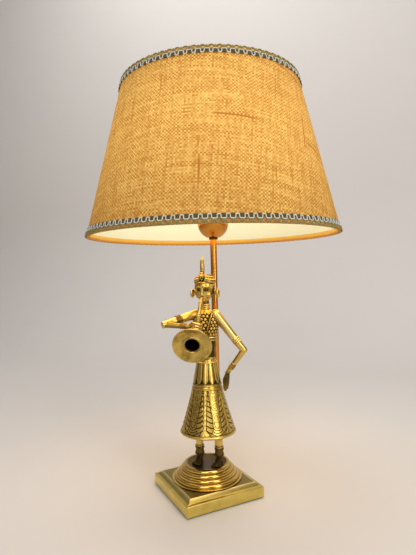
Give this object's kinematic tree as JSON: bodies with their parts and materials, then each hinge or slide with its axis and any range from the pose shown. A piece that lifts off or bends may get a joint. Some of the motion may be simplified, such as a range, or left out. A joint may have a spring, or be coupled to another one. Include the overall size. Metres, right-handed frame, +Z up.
{
  "type": "table lamp",
  "caption": "Brass table lamp with a cast horn player on a stepped dome and square plinth, a tube stem behind and a tapered jute shade with braid trim on a harp.",
  "frame": {"origin": "on the axis of the stem and shade, at table level", "axes": "+Z up along the stem; the figure faces -Y, its left hand is on the +X side"},
  "size_m": [0.355, 0.355, 0.5649],
  "materials": {
    "polished_brass": "turned and buffed",
    "tube_brass": "drawn tube, lacquered",
    "dark_brass": "darkened",
    "cast_brass": "cast, chased and darkened in the hollows",
    "bell_brass": "spun, satin",
    "plated_steel": "zinc plated",
    "harp_brass": "brass-plated steel",
    "socket_brass": "pressed",
    "phenolic": "moulded",
    "bush_plastic": "moulded",
    "liner_card": "rolled",
    "felt": "pressed felt",
    "bulb_aluminium": "rolled thread",
    "bulb_glass": "frosted",
    "jute": "coarse plain weave",
    "lining": "laminated",
    "gimp": "braided",
    "shade_wire": "coated wire"
  },
  "bodies": {
    "base": {"plinth": "polished_brass", "base_dome": "polished_brass", "stem": "tube_brass", "stem_collar": "tube_brass", "cup": "tube_brass", "cup_cover": "tube_brass", "neck_ring": "dark_brass", "right_leg": "cast_brass", "left_leg": "cast_brass", "skirt": "cast_brass", "torso": "cast_brass", "head": "cast_brass", "ear_rings": "cast_brass", "turban": "cast_brass", "plume": "cast_brass", "left_arm": "cast_brass", "right_arm": "cast_brass", "horn": "cast_brass", "horn_bell": "bell_brass", "figure_studs": "plated_steel", "figure_washers": "plated_steel", "figure_nuts": "plated_steel", "stem_washer": "plated_steel", "stem_nut": "plated_steel", "cup_nut": "plated_steel", "harp_saddle": "harp_brass", "harp_bow": "harp_brass", "harp_stud": "harp_brass", "socket_cap": "socket_brass", "socket_shell": "socket_brass", "screw_shell": "socket_brass", "centre_contact": "socket_brass", "socket_core": "phenolic", "cord_bush": "bush_plastic", "socket_liner": "liner_card", "felt_pad": "felt"},
    "shade": {"shade_fabric": "jute", "shade_lining": "lining", "shade_spider": "shade_wire", "shade_top_ring": "shade_wire", "shade_bottom_ring": "shade_wire", "shade_top_trim": "gimp", "shade_bottom_trim": "gimp"},
    "finial": {"finial": "polished_brass"},
    "bulb": {"bulb_cap": "bulb_aluminium", "bulb_glass": "bulb_glass"},
    "switch": {"switch_knob": "phenolic"},
    "right_ferrule": {"right_ferrule": "harp_brass"},
    "left_ferrule": {"left_ferrule": "harp_brass"}
  },
  "joints": [
    {"name": "shade_swivel", "type": "hinge", "parent": "base", "child": "shade", "pos_m": [0, 0, 0.5382], "axis": [0, 0, 1], "continuous": true},
    {"name": "finial_turn", "type": "hinge", "parent": "base", "child": "finial", "pos_m": [0, 0, 0.5399], "axis": [0, 0, 1], "continuous": true},
    {"name": "bulb_turn", "type": "hinge", "parent": "base", "child": "bulb", "pos_m": [0, 0, 0.3871], "axis": [0, 0, 1], "continuous": true},
    {"name": "switch_turn", "type": "hinge", "parent": "base", "child": "switch", "pos_m": [0, -0.019, 0.3828], "axis": [0, -1, 0], "continuous": true},
    {"name": "right_ferrule_slide", "type": "slide", "parent": "base", "child": "right_ferrule", "axis": [0, 0, 1], "range_m": [0, 0.01]},
    {"name": "left_ferrule_slide", "type": "slide", "parent": "base", "child": "left_ferrule", "axis": [0, 0, 1], "range_m": [0, 0.01]}
  ]
}
